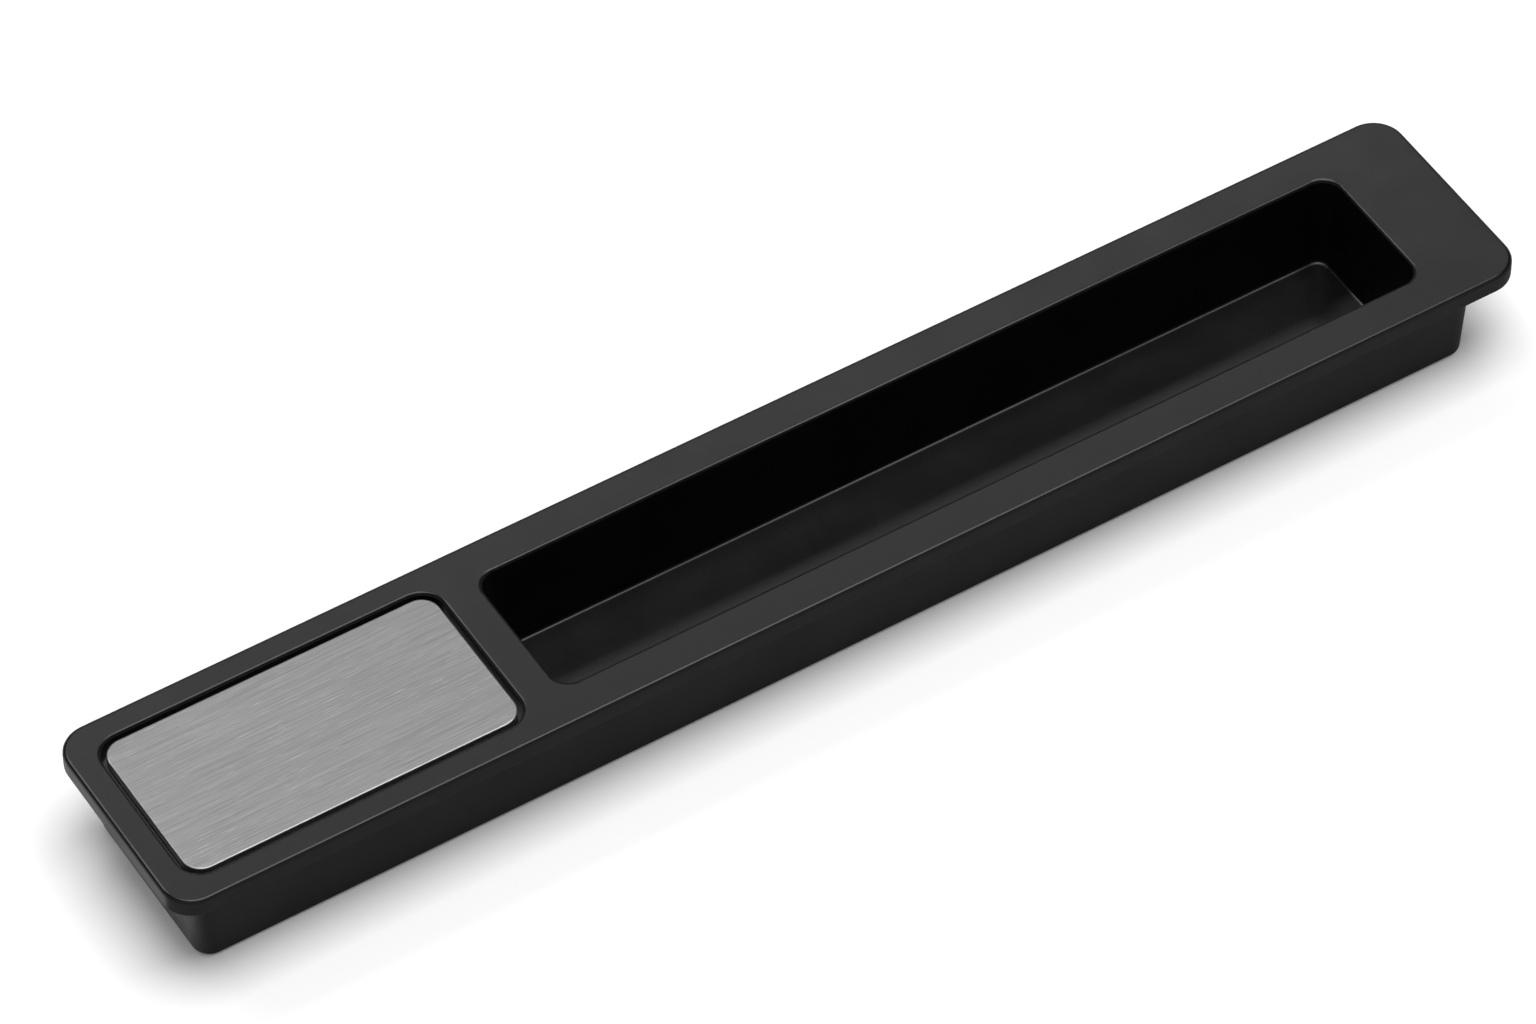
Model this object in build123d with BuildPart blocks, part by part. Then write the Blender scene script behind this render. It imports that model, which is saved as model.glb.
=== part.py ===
"""Flush pull for a pocket door, lying on its back with its face up.

A cast body holds everything: a flange that laps the face of the door, a drafted
box that goes into the mortise, a finger recess, and a shallow seat for a cover
plate. Under the seat the back is cored out and ribbed, with two screw bosses.
A brushed steel plate is stuck into the seat on two tape strips and hides the
screw holes.

Frame: X along the pull, +Z out of the door, Y across. The origin is on the
surface that the pull lies on, below the middle of the flange. Millimetres.
"""

from build123d import *
from math import radians, tan
import os

# Flange that laps the door face
flange_width = 35.5
flange_thickness = 3.0
flange_corner = 4.8
flange_top_edge = 0.6
flange_under_edge = 0.25

# Drafted box that goes into the mortise, measured where it meets the flange
body_depth = 13.8
left_overhang = 3.55
right_overhang = 6.25
side_overhang = 2.15
body_corner = 3.5
body_draft = 3.2
base_edge = 1.0

# Finger recess, measured at its mouth
recess_length = 143.0
recess_width = 23.2
recess_depth = 15.0
recess_corner = 3.0
recess_floor_corner = 2.2
recess_draft = 6.4
recess_floor_edge = 0.6
mouth_edge = 0.55

# Cover plate, and the seat that it lies in
plate_length = 52.0
plate_width = 26.0
plate_thickness = 1.2
plate_corner = 3.0
plate_top_edge = 0.25
plate_gap = 0.7
plate_sink = 0.25

# Lands left along the flange: beside the plate, between plate and recess, beyond the recess
plate_end_land = 4.9
middle_land = 6.4
recess_end_land = 13.7

# Two strips of double-sided tape under the plate
tape_thickness = 0.25
tape_width = 6.5
tape_inset = 1.5

# Cored back
seat_wall = 1.8
base_wall = 2.2
end_wall = 2.0
core_corner = 2.0
core_draft = 1.0
end_core_length = 3.0
end_core_corner = 1.2
rib_thickness = 1.6
rib_setback = 0.8

# Screw bosses
screw_spacing = 34.0
screw_hole_radius = 2.15
screw_head_radius = 4.2
screw_head_angle = 90
boss_radius = 4.8

# Levels above the surface that the pull lies on
top_level = body_depth + flange_thickness
seat_level = top_level - plate_sink - plate_thickness - tape_thickness
core_level = seat_level - seat_wall

# Places along the pull
flange_length = plate_end_land + plate_length + middle_land + recess_length + recess_end_land
body_left = -flange_length / 2 + left_overhang
body_right = flange_length / 2 - right_overhang
body_middle = (body_left + body_right) / 2
body_length = body_right - body_left
body_width = flange_width - 2 * side_overhang
recess_right = flange_length / 2 - recess_end_land
recess_left = recess_right - recess_length
recess_middle = (recess_left + recess_right) / 2
plate_middle = -flange_length / 2 + plate_end_land + plate_length / 2

# The box is narrower at its foot, and the recess at its floor, by this much on every side
foot_inset = body_depth * tan(radians(body_draft))
floor_inset = recess_depth * tan(radians(recess_draft))
core_width = body_width - 2 * (foot_inset + base_wall)
seat_core_left = body_left + foot_inset + base_wall
seat_core_right = recess_left - end_wall
seat_core_length = seat_core_right - seat_core_left
seat_core_middle = (seat_core_left + seat_core_right) / 2
end_core_middle = (recess_right + body_right - foot_inset) / 2


def facing_down(x, level):
    """Plane at a level, with its normal towards the surface below."""
    return Plane(origin=(x, 0, level), x_dir=(1, 0, 0), z_dir=(0, 0, -1))


with BuildPart() as pull_body:
    # Drafted box, with the edge at its foot rounded
    with BuildSketch(facing_down(body_middle, body_depth)):
        RectangleRounded(body_length, body_width, body_corner)
    extrude(amount=body_depth, taper=body_draft)
    fillet(edges().group_by(Axis.Z)[0], base_edge)

    # Flange
    with BuildSketch(Plane.XY.offset(body_depth)):
        RectangleRounded(flange_length, flange_width, flange_corner)
    extrude(amount=flange_thickness)
    fillet(faces().sort_by(Axis.Z)[-1].edges(), flange_top_edge)
    flange_underside = faces().filter_by(Axis.Z).group_by(Axis.Z)[1][0]
    fillet(flange_underside.outer_wire().edges(), flange_under_edge)

    # Finger recess, whose corners keep nearly the same radius down to its floor
    with BuildSketch(facing_down(recess_middle, top_level)):
        RectangleRounded(recess_length, recess_width, recess_corner)
    with BuildSketch(facing_down(recess_middle, top_level - recess_depth)):
        RectangleRounded(
            recess_length - 2 * floor_inset,
            recess_width - 2 * floor_inset,
            recess_floor_corner,
        )
    loft(mode=Mode.SUBTRACT)
    fillet(edges(Select.LAST).group_by(Axis.Z)[0], recess_floor_edge)
    fillet(faces().sort_by(Axis.Z)[-1].inner_wires()[0].edges(), mouth_edge)

    # Seat for the cover plate
    with BuildSketch(Plane.XY.offset(top_level)):
        with Locations((plate_middle, 0)):
            RectangleRounded(
                plate_length + 2 * plate_gap,
                plate_width + 2 * plate_gap,
                plate_corner + plate_gap,
            )
    extrude(amount=seat_level - top_level, mode=Mode.SUBTRACT)
    fillet(edges(Select.LAST).group_by(Axis.Z)[-1], mouth_edge)

    # Cores in the back: one under the seat, one beyond the recess
    with BuildSketch():
        with Locations((seat_core_middle, 0)):
            RectangleRounded(seat_core_length, core_width, core_corner)
        with Locations((end_core_middle, 0)):
            RectangleRounded(end_core_length, core_width, end_core_corner)
    extrude(amount=core_level, taper=core_draft, mode=Mode.SUBTRACT)

    # Ribs across the larger core, set back from the foot
    rib_reach = (base_wall - base_edge) / 2
    with BuildSketch(Plane.XY.offset(rib_setback)):
        with Locations((seat_core_middle, 0)):
            Rectangle(seat_core_length + 2 * rib_reach, rib_thickness)
        with Locations((plate_middle, 0)):
            with GridLocations(screw_spacing, 0, 2, 1):
                Rectangle(rib_thickness, core_width + 2 * rib_reach)
    extrude(amount=core_level - rib_setback)

    # Screw bosses and their countersunk holes
    with BuildSketch():
        with Locations((plate_middle, 0)):
            with GridLocations(screw_spacing, 0, 2, 1):
                Circle(boss_radius)
    extrude(amount=core_level, taper=-core_draft)
    with Locations((plate_middle, 0, seat_level)):
        with GridLocations(screw_spacing, 0, 2, 1):
            CounterSinkHole(screw_hole_radius, screw_head_radius, seat_level, screw_head_angle)

with BuildPart() as cover_plate:
    with BuildSketch(Plane.XY.offset(seat_level + tape_thickness)):
        with Locations((plate_middle, 0)):
            RectangleRounded(plate_length, plate_width, plate_corner)
    extrude(amount=plate_thickness)
    fillet(edges().group_by(Axis.Z)[-1], plate_top_edge)

os.makedirs("parts", exist_ok=True)

pull_body.part.label = "pull_body"
export_step(pull_body.part, "parts/pull_body.step")

cover_plate.part.label = "cover_plate"
export_step(cover_plate.part, "parts/cover_plate.step")

# One strip along each long side of the plate, clear of the screw heads
for side, name in ((-1, "tape_strip_near"), (1, "tape_strip_far")):
    with BuildPart() as tape_strip:
        with BuildSketch(Plane.XY.offset(seat_level)):
            with Locations((plate_middle, side * (plate_width / 2 - tape_inset - tape_width / 2))):
                Rectangle(plate_length - 2 * tape_inset, tape_width)
        extrude(amount=tape_thickness)
    tape_strip.part.label = name
    export_step(tape_strip.part, f"parts/{name}.step")
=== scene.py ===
"""Looks of the flush pull for a pocket door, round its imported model. Metres."""

import math

import bpy
from mathutils import Euler, Matrix, Vector


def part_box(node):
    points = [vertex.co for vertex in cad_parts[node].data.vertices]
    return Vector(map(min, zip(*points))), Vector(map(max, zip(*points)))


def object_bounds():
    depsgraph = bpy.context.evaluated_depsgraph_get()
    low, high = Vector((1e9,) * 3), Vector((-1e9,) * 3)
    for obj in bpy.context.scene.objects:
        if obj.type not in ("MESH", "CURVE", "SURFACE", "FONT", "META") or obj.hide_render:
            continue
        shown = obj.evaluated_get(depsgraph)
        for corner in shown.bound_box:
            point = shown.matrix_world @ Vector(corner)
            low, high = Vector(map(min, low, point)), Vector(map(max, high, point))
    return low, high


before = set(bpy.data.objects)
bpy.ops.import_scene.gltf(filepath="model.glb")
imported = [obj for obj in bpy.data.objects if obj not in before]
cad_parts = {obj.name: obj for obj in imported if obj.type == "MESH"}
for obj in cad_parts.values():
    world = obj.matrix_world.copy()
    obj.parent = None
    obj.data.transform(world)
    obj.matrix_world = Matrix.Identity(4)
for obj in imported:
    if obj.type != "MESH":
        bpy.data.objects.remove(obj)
cad_low, cad_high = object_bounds()


# Pull body
# One zinc die casting: flange, drafted box, finger recess and ribbed back in one piece,
# under one satin black coat with a very fine grain. The coat is glossiest on the face,
# duller in the recess and on the ends, and nearly matt on the long sides of the box.

MM = 0.001
COAT_BLACK = (0.0028, 0.0028, 0.0029, 1)
COAT_BLACK_THIN = (0.0038, 0.0038, 0.0037, 1)
COAT_SPECULAR = 0.31
COAT_GRAIN_SIZE = 0.22 * MM
COAT_GRAIN_DEPTH = 0.004 * MM
COAT_PATCH_SIZE = 9.0 * MM
GRAIN_DETAIL = 2.0
PATCH_DETAIL = 3.0
PATCH_SPREAD = (0.3, 0.7)

FACE_ROUGHNESS = (0.21, 0.26)
RECESS_ROUGHNESS = 0.28
SIDE_ROUGHNESS = 0.88
END_ROUGHNESS = 0.50

# How far the flange stands out past the box: at the plate end, at the other end, on each side
LEFT_LAP = 3.55 * MM
RIGHT_LAP = 6.25 * MM
SIDE_LAP = 2.15 * MM
box_left = cad_low[0] + LEFT_LAP
box_right = cad_high[0] - RIGHT_LAP
box_middle = (box_left + box_right) / 2
box_half_length = (box_right - box_left) / 2
box_half_width = cad_high[1] - SIDE_LAP

# Where the coat turns duller: below the face, down the recess, and in from the box's sides and ends
FACE_FADE = (0.10 * MM, 0.28 * MM)
RECESS_FADE = (1.0 * MM, 12.0 * MM)
SIDE_FADE = (2.6 * MM, 0.6 * MM)
END_FADE = (0.6 * MM, 0.1 * MM)


def feed(tree, source, socket):
    """Link a socket to an input, or set the input to a number or a colour."""
    if isinstance(source, bpy.types.NodeSocket):
        tree.links.new(source, socket)
    else:
        socket.default_value = source


def add_math(tree, operation, first, second=0.0):
    """Math node; each side is a number or the socket that feeds it."""
    node = tree.nodes.new("ShaderNodeMath")
    node.operation = operation
    feed(tree, first, node.inputs[0])
    feed(tree, second, node.inputs[1])
    return node.outputs["Value"]


def add_noise(tree, coordinates, scale, detail):
    """Noise texture whose scale is a number or a socket."""
    node = tree.nodes.new("ShaderNodeTexNoise")
    node.inputs["Detail"].default_value = detail
    tree.links.new(coordinates, node.inputs["Vector"])
    feed(tree, scale, node.inputs["Scale"])
    return node.outputs["Fac"]


def along_axes(tree):
    """Place on the object, as separate X, Y and Z sockets."""
    place = tree.nodes.new("ShaderNodeTexCoord")
    split = tree.nodes.new("ShaderNodeSeparateXYZ")
    tree.links.new(place.outputs["Object"], split.inputs["Vector"])
    return split.outputs


def rising(tree, value, low, high, curve="SMOOTHSTEP"):
    """Mask that rises from 0 to 1 as the value goes from low to high."""
    node = tree.nodes.new("ShaderNodeMapRange")
    node.interpolation_type = curve
    node.inputs["From Min"].default_value = low
    node.inputs["From Max"].default_value = high
    tree.links.new(value, node.inputs["Value"])
    return node.outputs["Result"]


def between(tree, mask, low, high):
    """Value that runs from low to high with the mask."""
    node = tree.nodes.new("ShaderNodeMapRange")
    node.inputs["To Min"].default_value = low
    node.inputs["To Max"].default_value = high
    tree.links.new(mask, node.inputs["Value"])
    return node.outputs["Result"]


def blend_colours(tree, mask, first, second):
    """Colour that runs from first to second with the mask; each is a colour or a socket."""
    node = tree.nodes.new("ShaderNodeMix")
    node.data_type = "RGBA"
    colours = [socket for socket in node.inputs if socket.type == "RGBA"]
    for socket, side in zip(colours, (first, second)):
        feed(tree, side, socket)
    tree.links.new(mask, node.inputs["Factor"])
    return next(socket for socket in node.outputs if socket.type == "RGBA")


def raise_bump(tree, shader, height, depth):
    """Bump of a real depth into the shader's normal."""
    node = tree.nodes.new("ShaderNodeBump")
    node.inputs["Distance"].default_value = depth
    node.inputs["Strength"].default_value = 1.0
    tree.links.new(height, node.inputs["Height"])
    tree.links.new(node.outputs["Normal"], shader.inputs["Normal"])


def effect_group(name, inputs, outputs):
    """Empty shader node group with named float inputs and outputs."""
    group = bpy.data.node_groups.new(name, "ShaderNodeTree")
    for label, value in inputs.items():
        socket = group.interface.new_socket(label, in_out="INPUT", socket_type="NodeSocketFloat")
        socket.default_value = value
    for label in outputs:
        group.interface.new_socket(label, in_out="OUTPUT", socket_type="NodeSocketFloat")
    return group


def make_fine_grain():
    """Closely packed pimples of one size, as a height and as a mask."""
    group = effect_group("fine_grain", {"Grain Size": COAT_GRAIN_SIZE}, ("Height", "Mask"))
    source = group.nodes.new("NodeGroupInput")
    result = group.nodes.new("NodeGroupOutput")
    place = group.nodes.new("ShaderNodeTexCoord")
    per_metre = add_math(group, "DIVIDE", 1.0, source.outputs["Grain Size"])
    pimples = group.nodes.new("ShaderNodeTexVoronoi")
    pimples.feature = "SMOOTH_F1"
    group.links.new(place.outputs["Object"], pimples.inputs["Vector"])
    group.links.new(per_metre, pimples.inputs["Scale"])
    ripple = add_noise(group, place.outputs["Object"], per_metre, GRAIN_DETAIL)
    height = add_math(group, "SUBTRACT", ripple, pimples.outputs["Distance"])
    group.links.new(height, result.inputs["Height"])
    group.links.new(ripple, result.inputs["Mask"])
    return group


def make_soft_patches():
    """Slow change over the surface, from 0 to 1, as an uneven finish has."""
    group = effect_group("soft_patches", {"Patch Size": COAT_PATCH_SIZE}, ("Mask",))
    source = group.nodes.new("NodeGroupInput")
    result = group.nodes.new("NodeGroupOutput")
    place = group.nodes.new("ShaderNodeTexCoord")
    per_metre = add_math(group, "DIVIDE", 1.0, source.outputs["Patch Size"])
    cloud = add_noise(group, place.outputs["Object"], per_metre, PATCH_DETAIL)
    group.links.new(rising(group, cloud, *PATCH_SPREAD), result.inputs["Mask"])
    return group


def new_finish(name):
    """Material with a Principled shader; returns the material, its tree and the shader."""
    material = bpy.data.materials.new(name)
    material.use_nodes = True
    return material, material.node_tree, material.node_tree.nodes["Principled BSDF"]


def place_group(tree, group, **values):
    """Group placed in a material, with its inputs set by name."""
    node = tree.nodes.new("ShaderNodeGroup")
    node.node_tree = group
    for label, value in values.items():
        node.inputs[label.replace("_", " ").title()].default_value = value
    return node


def added_roughness(tree, mask, roughness):
    """What a duller place adds to the roughness of the face, where the mask is up."""
    return between(tree, mask, 0.0, roughness - FACE_ROUGHNESS[1])


def coat_dullness(tree):
    """Added roughness of the coat: on the box's sides and ends, and down in the recess."""
    axes = along_axes(tree)
    depth = add_math(tree, "SUBTRACT", cad_high[2], axes["Z"])
    across = add_math(tree, "ABSOLUTE", axes["Y"])
    along = add_math(tree, "ABSOLUTE", add_math(tree, "SUBTRACT", axes["X"], box_middle))
    sides = rising(tree, across, box_half_width - SIDE_FADE[0], box_half_width - SIDE_FADE[1])
    ends = rising(tree, along, box_half_length - END_FADE[0], box_half_length - END_FADE[1])
    on_sides = added_roughness(tree, sides, SIDE_ROUGHNESS)
    on_ends = added_roughness(tree, ends, END_ROUGHNESS)
    below_face = rising(tree, depth, *FACE_FADE)
    outside = add_math(tree, "MULTIPLY", add_math(tree, "MAXIMUM", on_sides, on_ends), below_face)
    inside = added_roughness(tree, rising(tree, depth, *RECESS_FADE), RECESS_ROUGHNESS)
    return add_math(tree, "MAXIMUM", outside, inside)


def make_black_coat():
    """Satin black coat: near black with a fine grain, and glossiest on the face."""
    material, tree, shader = new_finish("satin_black_coat")
    grain = place_group(tree, fine_grain, grain_size=COAT_GRAIN_SIZE)
    patches = place_group(tree, soft_patches, patch_size=COAT_PATCH_SIZE)
    colour = blend_colours(tree, patches.outputs["Mask"], COAT_BLACK, COAT_BLACK_THIN)
    tree.links.new(colour, shader.inputs["Base Color"])
    uneven = between(tree, patches.outputs["Mask"], *FACE_ROUGHNESS)
    tree.links.new(add_math(tree, "ADD", coat_dullness(tree), uneven), shader.inputs["Roughness"])
    shader.inputs["Specular IOR Level"].default_value = COAT_SPECULAR
    raise_bump(tree, shader, grain.outputs["Height"], COAT_GRAIN_DEPTH)
    return material


def dress(node, material):
    """Give a node of the model its finish."""
    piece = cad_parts[node]
    piece.data.materials.clear()
    piece.data.materials.append(material)


fine_grain = make_fine_grain()
soft_patches = make_soft_patches()
dress("pull_body", make_black_coat())


# Cover plate
# Stainless sheet, blanked with rounded corners, its top edge broken and its face
# brushed along its length. It is stuck into the seat and hides the screw holes.

STEEL_LIGHT = (0.272, 0.272, 0.272, 1)
STEEL_DARK = (0.184, 0.184, 0.184, 1)
STEEL_ROUGHNESS = (0.32, 0.40)
STEEL_PATCH_SIZE = 14.0 * MM
STEEL_PATCH_ROUGHNESS = 0.02
# Bright steel for the fresh scratches. It is also painted on the broken top edge as a highlight,
# starting at these depths below the plate's top.
BRIGHT_STEEL = (0.60, 0.60, 0.595, 1)
EDGE_HIGHLIGHT_DEPTH = (0.01 * MM, 0.04 * MM)

FINE_WIDTH = 0.10 * MM
BROAD_WIDTH = 0.20 * MM
FINE_SHARE = 0.6
SCRATCH_LENGTH = 11.0 * MM
SCRATCH_DEPTH = 0.008 * MM
SCRATCH_DETAIL = 3.0
SCRATCH_SPREAD = (0.35, 0.65)
FRESH_WIDTH = 0.08 * MM
FRESH_LENGTH = 4.5 * MM
FRESH_SHARE = (0.61, 0.82)


def add_scratches(tree, width, length):
    """Noise drawn out along X into scratches of one width and length."""
    place = tree.nodes.new("ShaderNodeTexCoord")
    stretch = tree.nodes.new("ShaderNodeMapping")
    stretch.inputs["Scale"].default_value = (1 / length, 1 / width, 1 / width)
    tree.links.new(place.outputs["Object"], stretch.inputs["Vector"])
    return add_noise(tree, stretch.outputs["Vector"], 1.0, SCRATCH_DETAIL)


def make_brushed_steel():
    """Brushed stainless: fine scratches over broader ones, some fresh and bright, with bright steel
    painted on the broken top edge as a highlight.
    """
    material, tree, shader = new_finish("brushed_stainless")
    fine = add_scratches(tree, FINE_WIDTH, SCRATCH_LENGTH)
    broad = add_scratches(tree, BROAD_WIDTH, SCRATCH_LENGTH)
    fine_part = add_math(tree, "MULTIPLY", fine, FINE_SHARE)
    broad_part = add_math(tree, "MULTIPLY", broad, 1 - FINE_SHARE)
    both = add_math(tree, "ADD", fine_part, broad_part)
    lines = rising(tree, both, *SCRATCH_SPREAD, curve="LINEAR")
    brushed = blend_colours(tree, lines, STEEL_DARK, STEEL_LIGHT)

    plate_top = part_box("cover_plate")[1][2]
    depth = add_math(tree, "SUBTRACT", plate_top, along_axes(tree)["Z"])
    fresh = rising(tree, add_scratches(tree, FRESH_WIDTH, FRESH_LENGTH), *FRESH_SHARE)
    # Painted highlight: the broken top edge takes the bright steel so that it shows as a bright line.
    # The fresh scratches take it too.
    bright = add_math(tree, "MAXIMUM", rising(tree, depth, *EDGE_HIGHLIGHT_DEPTH), fresh)
    tree.links.new(blend_colours(tree, bright, brushed, BRIGHT_STEEL), shader.inputs["Base Color"])

    patches = place_group(tree, soft_patches, patch_size=STEEL_PATCH_SIZE)
    along_lines = between(tree, lines, STEEL_ROUGHNESS[1], STEEL_ROUGHNESS[0])
    uneven = between(tree, patches.outputs["Mask"], -STEEL_PATCH_ROUGHNESS, STEEL_PATCH_ROUGHNESS)
    tree.links.new(add_math(tree, "ADD", along_lines, uneven), shader.inputs["Roughness"])
    shader.inputs["Metallic"].default_value = 1.0
    raise_bump(tree, shader, both, SCRATCH_DEPTH)
    return material


dress("cover_plate", make_brushed_steel())


# Tape strips
# Two strips of thin double-sided tissue tape under the long sides of the plate.
# They hold it in the seat, and nothing of them shows from outside.

TAPE_WHITE = (0.62, 0.61, 0.58, 1)
TAPE_YELLOWED = (0.70, 0.68, 0.60, 1)
TAPE_ROUGHNESS = (0.6, 0.8)
TAPE_GRAIN_SIZE = 0.4 * MM
TAPE_GRAIN_DEPTH = 0.02 * MM


def make_tissue_tape():
    """Matt tissue tape: off-white fibres in clear glue."""
    material, tree, shader = new_finish("tissue_tape")
    grain = place_group(tree, fine_grain, grain_size=TAPE_GRAIN_SIZE)
    colour = blend_colours(tree, grain.outputs["Mask"], TAPE_WHITE, TAPE_YELLOWED)
    tree.links.new(colour, shader.inputs["Base Color"])
    tree.links.new(between(tree, grain.outputs["Mask"], *TAPE_ROUGHNESS), shader.inputs["Roughness"])
    raise_bump(tree, shader, grain.outputs["Height"], TAPE_GRAIN_DEPTH)
    return material


tissue_tape = make_tissue_tape()
for strip in ("tape_strip_near", "tape_strip_far"):
    dress(strip, tissue_tape)


# Floor
# A plain white sweep that the pull lies on. It keeps the soft shadow round the foot of
# the box. A faint glow, only for the camera and for reflections, keeps it white, and
# grows far out, where the lights no longer reach it.

FLOOR_REACH = 3.0
FLOOR_WHITE = (0.93, 0.93, 0.93, 1)
FLOOR_FAR = (0.9, 2.6)
FLOOR_NEAR_GLOW = 0.10
FLOOR_FAR_GLOW = 1.0


def seen_directly(tree):
    """Mask that is 1 for camera, glossy and transmission rays."""
    path = tree.nodes.new("ShaderNodeLightPath")
    glossy = add_math(tree, "MAXIMUM", path.outputs["Is Camera Ray"], path.outputs["Is Glossy Ray"])
    return add_math(tree, "MAXIMUM", glossy, path.outputs["Is Transmission Ray"])


def make_white_floor():
    """Matt white paint with the glow added to it."""
    material = bpy.data.materials.new("white_floor")
    material.use_nodes = True
    tree = material.node_tree
    tree.nodes.clear()
    paint = tree.nodes.new("ShaderNodeBsdfDiffuse")
    paint.inputs["Color"].default_value = FLOOR_WHITE
    place = tree.nodes.new("ShaderNodeTexCoord")
    reach = tree.nodes.new("ShaderNodeVectorMath")
    reach.operation = "LENGTH"
    tree.links.new(place.outputs["Object"], reach.inputs[0])
    far = rising(tree, reach.outputs["Value"], *FLOOR_FAR)
    strength = between(tree, far, FLOOR_NEAR_GLOW, FLOOR_FAR_GLOW)
    glow = tree.nodes.new("ShaderNodeEmission")
    tree.links.new(add_math(tree, "MULTIPLY", seen_directly(tree), strength), glow.inputs["Strength"])
    both = tree.nodes.new("ShaderNodeAddShader")
    surface = tree.nodes.new("ShaderNodeOutputMaterial")
    tree.links.new(paint.outputs["BSDF"], both.inputs[0])
    tree.links.new(glow.outputs["Emission"], both.inputs[1])
    tree.links.new(both.outputs["Shader"], surface.inputs["Surface"])
    return material


bpy.ops.mesh.primitive_plane_add(size=2 * FLOOR_REACH)
floor = bpy.context.object
floor.name = "floor"
floor.data.materials.append(make_white_floor())


# Light
# A studio with dim walls and a paler ceiling. One large soft light high over the pull
# draws the rims. Of two weaker ones behind it, the end light is mirrored in the face,
# and hangs so low that the far wall of the recess hides it from the floor in there.

# Grey of the room at each height, from 0 at the horizon to 1 straight above
ROOM_LEVELS = ((0.00, 1.00), (0.05, 1.00), (0.13, 0.10), (0.50, 0.12), (0.80, 0.20), (1.00, 0.30))


def make_room():
    """World whose grey depends on height alone: white at the horizon, dim walls, paler ceiling."""
    world = bpy.data.worlds.new("studio")
    bpy.context.scene.world = world
    world.use_nodes = True
    tree = world.node_tree
    place = tree.nodes.new("ShaderNodeTexCoord")
    split = tree.nodes.new("ShaderNodeSeparateXYZ")
    tree.links.new(place.outputs["Generated"], split.inputs["Vector"])
    levels = tree.nodes.new("ShaderNodeValToRGB")
    steps = levels.color_ramp.elements
    for height, grey in ROOM_LEVELS[1:-1]:
        steps.new(height)
    for step, (height, grey) in zip(steps, ROOM_LEVELS):
        step.position = height
        step.color = (grey, grey, grey, 1)
    tree.links.new(split.outputs["Z"], levels.inputs["Fac"])
    tree.links.new(levels.outputs["Color"], tree.nodes["Background"].inputs["Color"])


def soft_light(name, place, size, power):
    """Rectangular soft light turned towards the pull, with its first side along it."""
    lamp = bpy.data.lights.new(name, "AREA")
    lamp.shape = "RECTANGLE"
    lamp.size, lamp.size_y = size
    lamp.energy = power
    light = bpy.data.objects.new(name, lamp)
    light.location = place
    away = Vector(place).normalized()
    along = (Vector((1, 0, 0)) - away.x * away).normalized()
    light.rotation_euler = Matrix((along, away.cross(along), away)).transposed().to_euler()
    bpy.context.scene.collection.objects.link(light)


make_room()
soft_light("overhead_light", place=(0.20, -0.05, 2.00), size=(1.70, 1.40), power=37.0)
soft_light("rim_light", place=(-0.40, 1.42, 1.95), size=(1.40, 0.42), power=11.0)
soft_light("end_light", place=(0.828, 1.448, 1.726), size=(1.10, 0.42), power=3.0)


# Camera
# It looks down on the pull from the plate end, through a long lens. Its place and lens
# were solved from straight edges of the object. Angles are in degrees, the lens in mm.

CAMERA_AIM = Vector((-0.00595, 0.00030, 0.0168))
CAMERA_DISTANCE = 1.15320
CAMERA_AZIMUTH = -31.718
CAMERA_ELEVATION = 49.006
CAMERA_ROLL = -0.449
CAMERA_LENS = 194.81


def make_camera():
    """Camera at its distance from the aim point, rolled about its own axis."""
    azimuth = math.radians(CAMERA_AZIMUTH)
    elevation = math.radians(CAMERA_ELEVATION)
    back = Vector((
        math.sin(azimuth) * math.cos(elevation),
        -math.cos(azimuth) * math.cos(elevation),
        math.sin(elevation),
    ))
    lens = bpy.data.cameras.new("camera")
    lens.lens = CAMERA_LENS
    camera = bpy.data.objects.new("camera", lens)
    camera.location = CAMERA_AIM + CAMERA_DISTANCE * back
    level = (-back).to_track_quat("-Z", "Y")
    roll = Euler((0, 0, math.radians(CAMERA_ROLL))).to_quaternion()
    camera.rotation_euler = (level @ roll).to_euler()
    bpy.context.scene.collection.objects.link(camera)
    bpy.context.scene.camera = camera


make_camera()
bpy.context.scene.view_settings.view_transform = "Standard"
